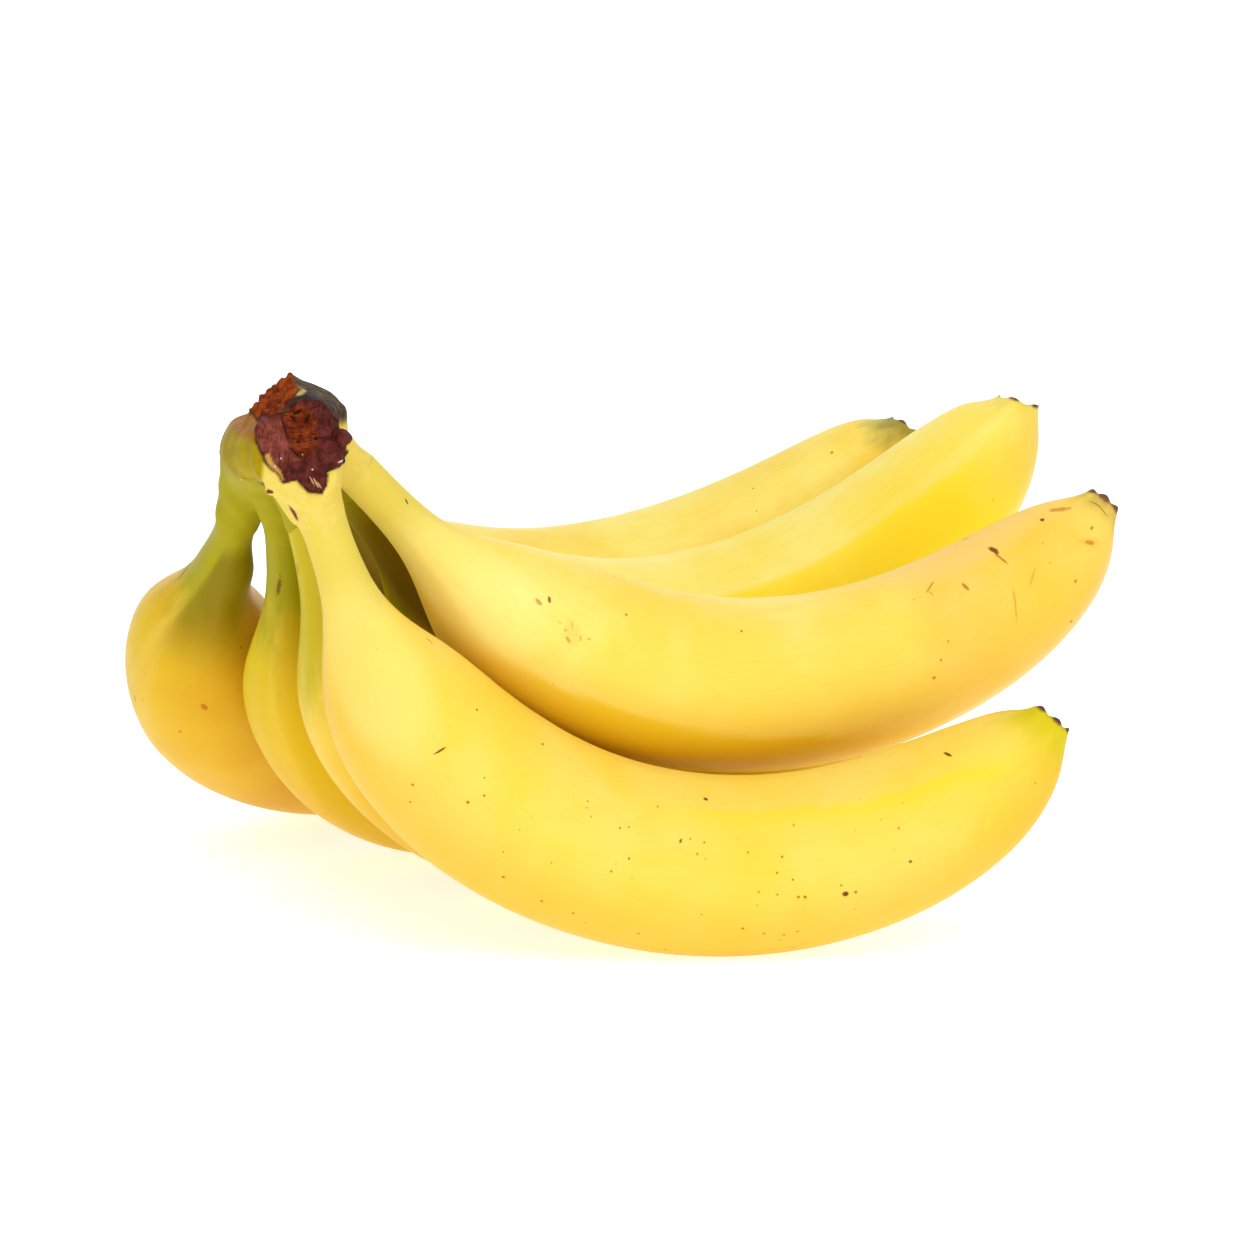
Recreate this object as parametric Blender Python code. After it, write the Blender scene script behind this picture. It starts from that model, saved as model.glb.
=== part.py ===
"""A bunch of seven bananas, cut from the stalk with its crown and lying on its bellies.

Four fingers make the outer row, which the bunch rests on, and three lie above it as the inner row.
All of them hang from one crown. Metres, +Z up, and the surface that the bunch lies on is Z = 0.
The origin is the middle of the bunch's bounding box, at its bottom.
"""

from math import cos, pi, radians, sin
from typing import NamedTuple

import bmesh
import bpy
from mathutils import Vector

MM = 0.001

# ---- Driving dimensions ---------------------------------------------------------------------
FINGER_RADIUS = 19.0 * MM  # the thickest place of a banana of girth 1
CROWN_MIDDLE = Vector((-66.1, -59.5, 103.7)) * MM
FIT_GAP = 0.3 * MM  # between a stem and the crown that holds it
BELLY_PRESS = 0.7 * MM  # how much of an outer banana's belly the surface flattens
NECK_START, NECK_END = 0.06, 0.22  # shares of the length over which the straight stem starts to curve
SIDES = 20  # round a banana, four to each of its five ridges
RIDGE_HEIGHT = 0.022  # of the radius, above and below the mean
RIDGES = 5


class Finger(NamedTuple):
    """One banana. It lies in a plane that is turned by heading and tipped by lean. In that plane
    its stem leaves the crown at the angle dive to the level, and its tip ends at the angle rise."""

    name: str
    root: tuple  # from the crown's middle, in mm
    heading: float
    lean: float
    dive: float
    rise: float
    length: float  # along its middle, in mm
    girth: float
    roll: float  # turns the five ridges about the banana's own middle line


OUTER_ROW = (
    Finger("banana_outer_1", (8.5, -34.0, -4.5), 1.5, -17.0, -74.0, 54.5, 206.0, 1.01, 20.0),
    Finger("banana_outer_2", (3.0, -6.0, -9.6), 21.0, -14.5, -74.0, 66.0, 208.0, 0.885, 0.0),
    Finger("banana_outer_3", (-3.0, 15.0, -15.3), 43.0, -19.0, -72.5, 56.0, 192.0, 0.88, 0.0),
    Finger("banana_outer_4", (-13.5, 24.5, -15.8), 38.5, -44.5, -80.0, 35.0, 197.0, 1.08, 0.0),
)
INNER_ROW = (
    Finger("banana_inner_1", (14.5, -7.5, -1.7), 15.5, -5.5, -47.0, 51.5, 194.5, 0.995, 0.0),
    Finger("banana_inner_2", (12.0, 6.0, -6.5), 27.5, -27.5, -49.0, 73.5, 210.5, 1.075, 0.0),
    Finger("banana_inner_3", (-6.0, 25.0, -4.0), 29.5, -38.5, -50.0, 65.0, 205.0, 0.88, 0.0),
)

# Where the sections stand along a banana (0 at the crown, 1 at the tip), and each one's radius
# as a share of the thickest: stem, shoulder, body, taper and the blunt end of the old flower.
PROFILE = (
    (0.000, 0.240), (0.040, 0.240), (0.075, 0.255), (0.105, 0.295), (0.130, 0.370), (0.155, 0.480),
    (0.180, 0.610), (0.205, 0.735), (0.235, 0.835), (0.270, 0.905), (0.315, 0.955), (0.370, 0.990),
    (0.435, 1.000), (0.505, 1.000), (0.575, 0.998), (0.640, 0.985), (0.705, 0.962), (0.765, 0.930),
    (0.820, 0.885), (0.865, 0.820), (0.900, 0.740), (0.930, 0.625), (0.955, 0.480), (0.972, 0.345),
    (0.984, 0.245), (1.000, 0.205),
)
STEPS_BETWEEN_SECTIONS = 8  # in adding up the curve of the middle line

# The crown is a short bar that runs from its cut front end back and down to the outer row's end.
CROWN_BAR = (  # place from the crown's middle, and radius, in mm
    ((6.0, -45.0, 4.5), 9.5),
    ((4.0, -28.0, 6.5), 11.0),
    ((2.0, -13.0, 7.0), 12.2),
    ((-3.0, 4.0, 2.5), 11.5),
    ((-9.0, 18.0, -2.5), 9.5),
    ((-11.0, 25.0, -5.0), 6.5),
)
COLLAR_RADIUS_AT_CROWN = 7.2 * MM
COLLAR_RADIUS_AT_STEM = 6.0 * MM
COLLAR_SUNK = 12.0 * MM  # how far a collar starts inside the crown
COLLAR_REACH = 4.5 * MM  # how far it covers the stem
COLLAR_SIDES = 16
SOCKET_DEPTH = 20.0 * MM  # past the collars, so that a neighbour's collar clears the stem too
# The two knife cuts that freed the bunch: a point from the crown's middle in mm, and the way out.
FRONT_CUT = ((5.5, -40.5, 5.5), (0.05, -0.97, 0.20))
TOP_CUT = ((-2.7, -37.0, 11.0), (-0.66, -0.15, 0.73))


def remove_everything():
    for scene_object in list(bpy.data.objects):
        bpy.data.objects.remove(scene_object, do_unlink=True)


def make_collection(name):
    collection = bpy.data.collections.new(name)
    bpy.context.scene.collection.children.link(collection)
    return collection


def make_material(name, colour, roughness):
    material = bpy.data.materials.new(name)
    material.use_nodes = True
    shader = material.node_tree.nodes["Principled BSDF"]
    shader.inputs["Base Color"].default_value = (*colour, 1.0)
    shader.inputs["Roughness"].default_value = roughness
    shader.inputs["Metallic"].default_value = 0.0
    return material


def make_object(name, bm, collection, material=None):
    """Turns a bmesh into an object of the collection, with its faces out."""
    bmesh.ops.recalc_face_normals(bm, faces=bm.faces)
    mesh = bpy.data.meshes.new(name)
    bm.to_mesh(mesh)
    bm.free()
    if material:
        mesh.materials.append(material)
        mesh.shade_smooth()
        mesh.set_sharp_from_angle(angle=radians(40))
    made = bpy.data.objects.new(name, mesh)
    collection.objects.link(made)
    return made


def smooth_step(share, start, end):
    t = min(max((share - start) / (end - start), 0.0), 1.0)
    return t * t * (3.0 - 2.0 * t)


def finger_axes(finger):
    """The level axis, the rising axis and the normal of the plane that a banana lies in."""
    heading, lean = radians(finger.heading), radians(finger.lean)
    level = Vector((cos(heading), sin(heading), 0.0))
    across = Vector((-sin(heading), cos(heading), 0.0))
    rising = cos(lean) * Vector((0.0, 0.0, 1.0)) + sin(lean) * across
    return level, rising, level.cross(rising)


def bend_shares(stations):
    """How much of a banana's whole bend lies before each station: none in the stem, then an even curve."""
    shares = [0.0]
    for start, end in zip(stations, stations[1:]):
        step = (end - start) / STEPS_BETWEEN_SECTIONS
        middles = [start + step * (i + 0.5) for i in range(STEPS_BETWEEN_SECTIONS)]
        shares.append(shares[-1] + step * sum(smooth_step(m, NECK_START, NECK_END) for m in middles))
    return [share / shares[-1] for share in shares]


def middle_line(finger):
    """The banana's middle line: a place, a direction and a side axis at each section."""
    level, rising, normal = finger_axes(finger)
    stations = [station for station, _ in PROFILE]
    angles = [
        radians(finger.dive + (finger.rise - finger.dive) * share) for share in bend_shares(stations)
    ]
    place = CROWN_MIDDLE + Vector(finger.root) * MM
    line = []
    for i, angle in enumerate(angles):
        direction = cos(angle) * level + sin(angle) * rising
        if i:
            step = (stations[i] - stations[i - 1]) * finger.length * MM
            place = place + step * (direction + line[-1][1]).normalized()
        line.append((place, direction, normal.cross(direction)))
    return line, normal


def make_finger(finger, collection, material, lies_on_surface):
    """A loft through the five-ridged sections. An outer banana rests on a small flat of its belly."""
    line, normal = middle_line(finger)
    bm = bmesh.new()
    rings = []
    for (place, _, side), (_, share) in zip(line, PROFILE):
        ring = []
        for i in range(SIDES):
            turn = 2.0 * pi * i / SIDES
            ridge = 1.0 + RIDGE_HEIGHT * cos(RIDGES * turn)
            radius = FINGER_RADIUS * finger.girth * share * ridge
            angle = turn + radians(finger.roll)
            ring.append(bm.verts.new(place + radius * (cos(angle) * side + sin(angle) * normal)))
        rings.append(ring)
    for ring, following in zip(rings, rings[1:]):
        for i in range(SIDES):
            j = (i + 1) % SIDES
            bm.faces.new((ring[i], ring[j], following[j], following[i]))
    bm.faces.new(rings[0])
    bm.faces.new(rings[-1])
    if lies_on_surface:
        press_belly_flat(bm)
    return make_object(finger.name, bm, collection, material)


def press_belly_flat(bm):
    """Settles the banana until its belly is pressed into the surface, and flattens what is below."""
    lowest = min(vert.co.z for vert in bm.verts)
    bmesh.ops.translate(bm, verts=bm.verts, vec=(0.0, 0.0, -lowest - BELLY_PRESS))
    geometry = bm.verts[:] + bm.edges[:] + bm.faces[:]
    bmesh.ops.bisect_plane(bm, geom=geometry, plane_co=(0, 0, 0), plane_no=(0, 0, 1), clear_inner=True)
    bmesh.ops.holes_fill(bm, edges=[edge for edge in bm.edges if edge.is_boundary])


def make_crown_bar(collection):
    """The body of the crown: a tube curve of changing thickness, made a closed mesh."""
    curve = bpy.data.curves.new("crown_bar", "CURVE")
    curve.dimensions = "3D"
    curve.bevel_depth = 1.0
    curve.bevel_resolution = 3
    curve.use_fill_caps = True
    spline = curve.splines.new("POLY")
    spline.points.add(len(CROWN_BAR) - 1)
    for point, (place, radius) in zip(spline.points, CROWN_BAR):
        point.co = (*(CROWN_MIDDLE + Vector(place) * MM), 1.0)
        point.radius = radius * MM
    tube = bpy.data.objects.new("crown_bar_curve", curve)
    collection.objects.link(tube)
    mesh = bpy.data.meshes.new_from_object(tube.evaluated_get(bpy.context.evaluated_depsgraph_get()))
    bpy.data.objects.remove(tube)
    bm = bmesh.new()
    bm.from_mesh(mesh)
    bpy.data.meshes.remove(mesh)
    bmesh.ops.remove_doubles(bm, verts=bm.verts, dist=0.0001)
    return bm


def make_rod(name, start, direction, length, radii, collection):
    """A closed round rod from start along direction, thinner or thicker at its far end."""
    bm = bmesh.new()
    bmesh.ops.create_cone(
        bm, cap_ends=True, segments=COLLAR_SIDES, radius1=radii[0], radius2=radii[1], depth=length
    )
    bmesh.ops.translate(bm, verts=bm.verts, vec=(0.0, 0.0, length / 2.0))
    bmesh.ops.rotate(bm, verts=bm.verts, matrix=direction.to_track_quat("Z", "Y").to_matrix())
    bmesh.ops.translate(bm, verts=bm.verts, vec=start)
    rod = make_object(name, bm, collection)
    rod.hide_render = True
    rod.display_type = "WIRE"
    return rod


def add_boolean(target, tool, operation):
    modifier = target.modifiers.new(tool.name, "BOOLEAN")
    modifier.operation = operation
    modifier.object = tool


def add_knife_cut(target, point, way_out):
    """Cuts the crown straight off at a plane, and closes it there."""
    bm = bmesh.new()
    bm.from_mesh(target.data)
    bmesh.ops.bisect_plane(
        bm,
        geom=bm.verts[:] + bm.edges[:] + bm.faces[:],
        plane_co=CROWN_MIDDLE + Vector(point) * MM,
        plane_no=Vector(way_out).normalized(),
        clear_outer=True,
    )
    bmesh.ops.holes_fill(bm, edges=[edge for edge in bm.edges if edge.is_boundary])
    bmesh.ops.recalc_face_normals(bm, faces=bm.faces)
    bm.to_mesh(target.data)
    bm.free()


def make_crown(fingers, collection, cutters, material):
    """The crown: the bar with its two knife cuts, a collar for each stem and a socket in each collar."""
    crown = make_object("crown", make_crown_bar(cutters), collection, material)
    for cut in (FRONT_CUT, TOP_CUT):
        add_knife_cut(crown, *cut)
    stem_radius = FINGER_RADIUS * PROFILE[0][1] * (1.0 + RIDGE_HEIGHT)
    for finger in fingers:
        line, _ = middle_line(finger)
        root, direction, _ = line[0]
        collar = make_rod(
            f"collar_of_{finger.name}",
            root - COLLAR_SUNK * direction,
            direction,
            COLLAR_SUNK + COLLAR_REACH,
            (COLLAR_RADIUS_AT_CROWN, COLLAR_RADIUS_AT_STEM),
            cutters,
        )
        add_boolean(crown, collar, "UNION")
    for finger in fingers:
        line, _ = middle_line(finger)
        root, direction, _ = line[0]
        socket_radius = stem_radius * finger.girth + 2.0 * FIT_GAP
        socket = make_rod(
            f"socket_of_{finger.name}",
            root - 4.0 * FIT_GAP * direction,
            direction,
            SOCKET_DEPTH,
            (socket_radius, socket_radius),
            cutters,
        )
        add_boolean(crown, socket, "DIFFERENCE")
    return crown


def build():
    remove_everything()
    bunch = make_collection("banana_bunch")
    cutters = make_collection("cutters")
    skin = make_material("banana_skin", (0.86, 0.62, 0.06), 0.42)
    crown_skin = make_material("crown_skin", (0.30, 0.20, 0.06), 0.65)
    for finger in OUTER_ROW:
        make_finger(finger, bunch, skin, lies_on_surface=True)
    for finger in INNER_ROW:
        make_finger(finger, bunch, skin, lies_on_surface=False)
    make_crown(OUTER_ROW + INNER_ROW, bunch, cutters, crown_skin)


build()
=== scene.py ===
"""The looks of a bunch of seven bananas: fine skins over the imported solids, the cut crown, peel and
stalk materials, a pale floor, soft studio light and the camera. Metres, +Z up."""

from math import cos, pi, radians, sin
from typing import NamedTuple

import bpy
import numpy as np
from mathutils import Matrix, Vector


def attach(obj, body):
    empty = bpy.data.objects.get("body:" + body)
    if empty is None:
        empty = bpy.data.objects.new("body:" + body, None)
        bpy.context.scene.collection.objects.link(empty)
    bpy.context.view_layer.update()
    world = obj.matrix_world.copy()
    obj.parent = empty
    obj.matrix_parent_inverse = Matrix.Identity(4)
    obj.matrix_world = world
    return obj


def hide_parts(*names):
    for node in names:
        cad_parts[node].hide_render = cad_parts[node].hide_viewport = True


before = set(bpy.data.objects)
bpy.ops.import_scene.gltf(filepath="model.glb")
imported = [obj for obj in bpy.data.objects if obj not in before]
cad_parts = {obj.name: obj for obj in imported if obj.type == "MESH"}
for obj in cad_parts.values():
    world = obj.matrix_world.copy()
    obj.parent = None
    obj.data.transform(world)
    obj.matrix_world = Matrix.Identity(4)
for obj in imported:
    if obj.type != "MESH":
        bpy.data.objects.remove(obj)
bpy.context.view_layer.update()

MM = 0.001

# ---- The bunch's own dimensions, as the solids have them ----
FINGER_RADIUS = 19.0 * MM
CROWN_MIDDLE = Vector((-66.1, -59.5, 103.7)) * MM
NECK_START, NECK_END = 0.06, 0.22
BELLY_PRESS = 0.7 * MM


class Finger(NamedTuple):
    """One banana: its plane is turned by heading and tipped by lean, and in it the stem leaves the
    crown at the angle dive and the tip ends at the angle rise. Ridges are (degrees round the
    banana from its hollow side, height as a share of the radius)."""

    node: str
    root: tuple
    heading: float
    lean: float
    dive: float
    rise: float
    length: float
    girth: float
    ridges: tuple


OUTER_1 = Finger(
    "banana_outer_1", (8.5, -34.0, -4.5), 1.5, -17.0, -74.0, 54.5, 206.0, 1.01,
    ((28, 0.022), (88, 0.006), (145, 0.045), (212, 0.040), (285, 0.045)),
)
OUTER_2 = Finger(
    "banana_outer_2", (3.0, -6.0, -9.6), 21.0, -14.5, -74.0, 66.0, 208.0, 0.885,
    ((20, 0.040), (85, 0.030), (150, 0.045), (220, 0.040), (295, 0.045)),
)
OUTER_3 = Finger(
    "banana_outer_3", (-3.0, 15.0, -15.3), 43.0, -19.0, -72.5, 56.0, 192.0, 0.88,
    ((25, 0.040), (90, 0.020), (150, 0.055), (215, 0.040), (290, 0.045)),
)
OUTER_4 = Finger(
    "banana_outer_4", (-13.5, 24.5, -15.8), 38.5, -44.5, -80.0, 35.0, 197.0, 1.08,
    ((30, 0.045), (105, 0.020), (168, 0.045), (235, 0.045), (300, 0.045)),
)
INNER_1 = Finger(
    "banana_inner_1", (14.5, -7.5, -1.7), 15.5, -5.5, -47.0, 51.5, 194.5, 0.995,
    ((12, 0.040), (60, 0.008), (113, 0.050), (190, 0.045), (280, 0.045)),
)
INNER_2 = Finger(
    "banana_inner_2", (12.0, 6.0, -6.5), 27.5, -27.5, -49.0, 73.5, 210.5, 1.075,
    ((28, 0.050), (100, 0.030), (165, 0.045), (230, 0.045), (305, 0.045)),
)
INNER_3 = Finger(
    "banana_inner_3", (-6.0, 25.0, -4.0), 29.5, -38.5, -50.0, 65.0, 205.0, 0.88,
    ((15, 0.040), (85, 0.035), (155, 0.045), (225, 0.045), (300, 0.045)),
)
OUTER_ROW = (OUTER_1, OUTER_2, OUTER_3, OUTER_4)
INNER_ROW = (INNER_1, INNER_2, INNER_3)

# A banana's radius along its length, as a share of its thickest.
PROFILE = (
    (0.000, 0.240), (0.040, 0.240), (0.075, 0.255), (0.105, 0.295), (0.130, 0.370), (0.155, 0.480),
    (0.180, 0.610), (0.205, 0.735), (0.235, 0.835), (0.270, 0.905), (0.315, 0.955), (0.370, 0.990),
    (0.435, 1.000), (0.505, 1.000), (0.575, 0.998), (0.640, 0.985), (0.705, 0.962), (0.765, 0.930),
    (0.820, 0.885), (0.865, 0.825), (0.900, 0.755), (0.925, 0.685), (0.945, 0.605), (0.962, 0.510),
    (0.976, 0.405), (0.988, 0.290), (1.000, 0.190),
)

SIDES = 80  # round a fine banana
CUTS = (14, 15)  # edge loops put in along a fine banana, in two goes: 15 x 16 bands
END_INSETS = (0.12, 0.22, 0.25)  # rings put into its far end, as shares of its radius
LINE_PLACES = 2001  # places worked out along a middle line
PROFILE_BLUR = 0.012  # share along over which the profile's corners are rounded, each way
RIDGE_CREST, RIDGE_SPREAD = radians(7.0), radians(24.0)
# How strong the ridges are at the shares along: on the stem and the tip, less on the body.
RIDGE_STRENGTH = (
    (0.0, 1.6), (0.10, 1.9), (0.22, 1.3), (0.40, 0.8), (0.60, 0.9), (0.85, 1.3), (0.95, 2.4), (1.0, 3.2),
)
CORNER_SPREAD = radians(23.0)
SCAR_DEPTH = 1.6 * MM  # of the dish the old flower left in a tip
SCAR_CORNERS = 1.0 * MM  # how far the ridges stand up round it
SCAR_FACING = Vector((0.0, -0.985, 0.174))  # the side whose rim stands higher than the other
TIP_FACING = {  # the same for tips that lean another way
    INNER_2: Vector((0.6, -1.1, 0.0)),
    INNER_3: Vector((0.5, -1.1, 0.0)),
}
SCAR_FRONT_RIM, SCAR_BACK_RIM = 1.6 * MM, 2.4 * MM  # by how much it stands higher, and the other lower
TIP_STRETCH = {OUTER_1: 2.2 * MM, INNER_2: 1.6 * MM, INNER_1: 0.6 * MM}
STEM_THINNING = {OUTER_4: 0.14}  # share of the radius taken off a stem
# Where a neck widens on one side: share along, its spread, degrees round, and by how much.
NECK_SWELL = {OUTER_4: (0.085, 0.035, 52.0, 1.5 * MM)}
SWELL_ROUND = radians(50.0)

# ---- The crown, in mm from its middle ----
CROWN_BAR = (  # place and radius
    ((6.5, -46.0, 7.0), 9.4),
    ((4.2, -28.0, 9.0), 11.8),
    ((3.0, -13.0, 4.0), 9.2),
    ((-3.8, 4.0, 0.2), 9.2),
    ((-8.0, 18.0, -4.0), 8.0),
    ((-10.0, 24.0, -6.0), 6.0),
)
FRONT_CUT = ((6.0, -38.5, 7.0), (0.05, -0.97, 0.20))  # a point of the cut and the way out of it
TOP_CUT = ((0.0, -38.5, 12.2), (-0.685, -0.247, 0.685))
FOLD_SLOPE = ((8.0, -28.0, 17.0), (0.49, -0.05, 0.87))  # the flat back of the fold
FOLD_END = ((13.4, -28.0, 12.0), (0.97, -0.2, -0.1))  # its right end
LEFT_SIDE = ((-3.6, -38.0, 8.0), (-0.94, -0.34, 0.0))
# The dried front face as (across, up): round its top, down the right, over the flap and back.
FRONT_FACE = (
    (-3.0, 10.6), (-2.2, 12.2), (1.2, 13.6), (2.9, 13.8), (5.1, 15.8), (7.5, 16.2), (10.8, 15.2),
    (12.6, 13.0), (15.4, 10.2), (16.2, 8.4), (15.0, 7.0), (14.6, 4.4), (13.6, 2.6), (11.4, 1.8),
    (11.6, 0.6), (10.4, -2.4), (7.7, -2.0), (5.5, 0.6), (2.8, -0.2), (-1.2, 4.4), (-3.0, 8.5),
)
FIBROUS_HOLLOW = ((2.4, 13.2), (4.1, 15.0), (7.0, 15.2), (9.6, 12.0), (9.4, 6.4), (6.3, 4.4), (4.1, 7.1))
SMOOTH_BAND = (
    (-3.0, 10.6), (1.2, 13.6), (2.4, 13.2), (4.1, 7.1), (6.3, 4.4), (2.2, 3.2), (-1.2, 5.6), (-3.0, 8.5),
)
TAN_PATCH = ((-1.0, 5.3), (0.0, 5.8), (0.8, 4.0), (2.2, 2.4), (3.0, 0.6), (2.0, 0.0), (0.4, 2.0))
# The lower edge of the crown's own skin over the left stems, as (across, up).
LIP = ((-16.0, 1.8), (-11.0, 0.5), (-8.5, -1.2), (-6.6, -1.0), (-6.0, -2.4), (-4.0, -3.0), (-2.4, -2.6))
BAR_VOXEL, BLANK_VOXEL, CROWN_VOXEL = 0.8 * MM, 0.6 * MM, 0.36 * MM  # the crown's mesh, ever finer
BLANK_SMOOTHINGS, CROWN_SMOOTHINGS = 12, 14
ROD_SIDES = 48
WAVES = 12  # crossed in the noise of the cut faces
# Skin round the stems: radius at a stem's start, radius and place where the skin ends on it, and
# the place and radius of the crown's flesh that it grows from.
STEM_SKINS = {
    OUTER_1: (5.2, 4.2, 12.0, (6.8, -36.0, 2.0), 7.4),
    OUTER_2: (4.8, 3.6, 8.0, (1.0, -10.0, 3.0), 7.5),
    OUTER_3: (4.8, 4.3, 3.5, (-4.0, 10.0, -2.0), 7.5),
    OUTER_4: (5.0, 3.6, 8.0, (-9.0, 18.0, -3.0), 7.5),
    INNER_1: (4.6, 3.7, 8.0, (5.4, -12.0, 4.4), 7.4),
    INNER_2: (5.2, 4.4, 8.0, (2.0, 2.0, 2.0), 7.0),
    INNER_3: (4.8, 3.6, 7.0, (-8.0, 18.0, -3.0), 7.0),
}
CROWN_LUMPS = (  # rounded rods as start, end and their radii
    ((-5.4, -23.0, 4.4), (-6.8, -3.0, 3.2), 5.7, 6.8),
    ((-2.4, -32.0, 4.6), (-5.4, -23.0, 4.4), 4.6, 5.7),
    ((1.8, -33.0, 0.0), (4.0, -31.0, -8.0), 3.6, 1.6),
    ((0.8, -32.0, -1.0), (-0.6, -35.4, -2.4), 2.0, 1.2),
    ((14.8, -36.5, 8.2), (12.5, -31.0, 6.0), 1.3, 3.0),
)
ON_BODY, ON_NECK = (0.16, 0.34, 0.88, 0.98), (0.02, 0.06, 0.13, 0.22)  # usual reaches of a facet
FACET_FADE = 40.0  # degrees over which a facet's far edge fades


class Facet(NamedTuple):
    """A facet beside a ridge, painted in shade or in a pale reflection: its crisp edge as (share along,
    degrees round), its width in degrees, below 0 where it lies on the other side of the edge, the
    edge's softness, the strength, and the shares along between which the facet comes up and goes again."""

    edge: tuple
    width: float
    softness: float
    strength: float
    reach: tuple


# Painted shade: facets darkened in each banana's Shade colour where they turn down or away from the light, or
# lie in shadow beside a neighbouring banana.
PAINTED_SHADE_FACETS = {
    OUTER_1: Facet(
        ((0.4, 20), (0.59, 22), (0.72, 23), (0.77, 29), (0.91, 40), (0.98, 68)),
        24.0, 3.0, 1.0, (0.46, 0.66, 0.92, 0.99),
    ),
    OUTER_3: Facet(
        ((0.1, 142), (0.17, 156), (0.22, 151), (0.28, 148), (0.4, 155)),
        -80.0, 5.0, 0.7, (0.08, 0.14, 0.5, 0.8),
    ),
    OUTER_4: Facet(((0.02, 137), (0.06, 150), (0.107, 163), (0.15, 172)), -125.0, 12.0, 0.9, ON_NECK),
    INNER_1: Facet(
        ((0.1, 112), (0.16, 128), (0.25, 111), (0.36, 103), (0.58, 109), (0.74, 132)),
        150.0, 4.0, 1.0, (0.16, 0.34, 0.70, 0.84),
    ),
    INNER_2: Facet(((0.7, 24), (0.82, 23), (0.92, 32), (0.99, 48)), 115.0, 3.0, 1.0, ON_BODY),
    INNER_3: Facet(((0.0, 60), (1.0, 60)), 120.0, 20.0, 0.5, ON_BODY),
}
# Painted reflection: a pale cream strip low on inner_1's right, where the peel turns under towards the white
# floor.
PAINTED_REFLECTION_FACETS = {
    INNER_1: Facet(
        ((0.68, 138), (0.75, 132), (0.79, 127), (0.85, 123), (0.92, 118)),
        90.0, 8.0, 0.85, (0.66, 0.77, 0.93, 0.98),
    ),
}
settled = {}  # how far each lying banana moved to meet the ground


# ---- Small helpers ----
def deselect_all():
    if bpy.context.object and bpy.context.object.mode != "OBJECT":
        bpy.ops.object.mode_set(mode="OBJECT")
    bpy.ops.object.select_all(action="DESELECT")


def pick(piece):
    """Makes a piece the only one selected, and the active one."""
    deselect_all()
    piece.select_set(True)
    bpy.context.view_layer.objects.active = piece


def ramp(values, start, end):
    """0 up to start and 1 from end, with a soft step between."""
    t = np.clip((values - start) / (end - start), 0.0, 1.0)
    return t * t * (3.0 - 2.0 * t)


def hump(values, rise, top, fall, end):
    """0 up to rise, 1 from top to fall and 0 again from end, with soft steps between."""
    return ramp(values, rise, top) * (1.0 - ramp(values, fall, end))


def read(items, field):
    """The three numbers that each item has in a field, as rows."""
    rows = np.empty(len(items) * 3)
    items.foreach_get(field, rows)
    return rows.reshape(-1, 3)


def write_points(piece, points):
    piece.data.vertices.foreach_set("co", points.ravel())
    piece.data.update()


def keep(piece, **values):
    """Stores numbers or places at a piece's points, for its material."""
    for name, items in values.items():
        kind, field = ("FLOAT", "value") if items.ndim == 1 else ("FLOAT_VECTOR", "vector")
        attribute = piece.data.attributes.new(name, kind, "POINT")
        attribute.data.foreach_set(field, np.ascontiguousarray(items, np.float32).ravel())


# ---- The fine bananas ----
def straight_tube(name):
    """A closed tube of radius 1 from z = 0 to z = 1, with bands along it and rings in its far end."""
    deselect_all()
    bpy.ops.mesh.primitive_cylinder_add(
        vertices=SIDES, radius=1.0, depth=1.0, end_fill_type="NGON", location=(0.0, 0.0, 0.5)
    )
    tube = bpy.context.object
    tube.name = name
    bpy.ops.object.transform_apply(location=True, rotation=False, scale=False)
    for cuts in CUTS:
        heights = [vert.co.z for vert in tube.data.vertices]
        select_where(tube, "EDGE", lambda edge: len({round(heights[i], 3) for i in edge.vertices}) == 2)
        bpy.ops.mesh.subdivide(number_cuts=cuts)
        bpy.ops.object.mode_set(mode="OBJECT")
    for inset in END_INSETS:
        select_where(tube, "FACE", lambda face: face.normal.z > 0.99 and len(face.vertices) == SIDES)
        bpy.ops.mesh.inset(thickness=inset, depth=0.0)
        bpy.ops.object.mode_set(mode="OBJECT")
    return tube


def select_where(piece, kind, wanted):
    """Selects the edges or the faces that pass wanted, and leaves the piece in edit mode."""
    bpy.ops.object.mode_set(mode="EDIT")
    bpy.ops.mesh.select_mode(type=kind)
    bpy.ops.mesh.select_all(action="DESELECT")
    bpy.ops.object.mode_set(mode="OBJECT")
    for item in piece.data.edges if kind == "EDGE" else piece.data.polygons:
        item.select = bool(wanted(item))
    bpy.ops.object.mode_set(mode="EDIT")


def smooth_profile(along):
    """The profile's straight pieces, rounded off by averaging over a short stretch."""
    stations, shares = np.array(PROFILE).T
    offsets = np.linspace(-PROFILE_BLUR, PROFILE_BLUR, 9)
    return np.mean([np.interp(along + offset, stations, shares) for offset in offsets], axis=0)


def turn_from(turn, degrees_round):
    """The angle from a place round the banana, the short way and signed."""
    return (turn - radians(degrees_round) + pi) % (2.0 * pi) - pi


def ridge_factor(finger, along, turn):
    """How the ridges swell the section, and how near their crests a point lies."""
    strength = np.interp(along, *np.array(RIDGE_STRENGTH).T)
    heights = [height for _, height in finger.ridges]
    swell = np.zeros_like(turn)
    for degrees, height in finger.ridges:
        crest = np.sqrt(turn_from(turn, degrees) ** 2 + RIDGE_CREST**2) - RIDGE_CREST
        swell += height * np.exp(-crest / RIDGE_SPREAD)
    mean = sum(heights) * RIDGE_SPREAD / pi
    return 1.0 + strength * (swell - mean), swell / max(heights)


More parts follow.
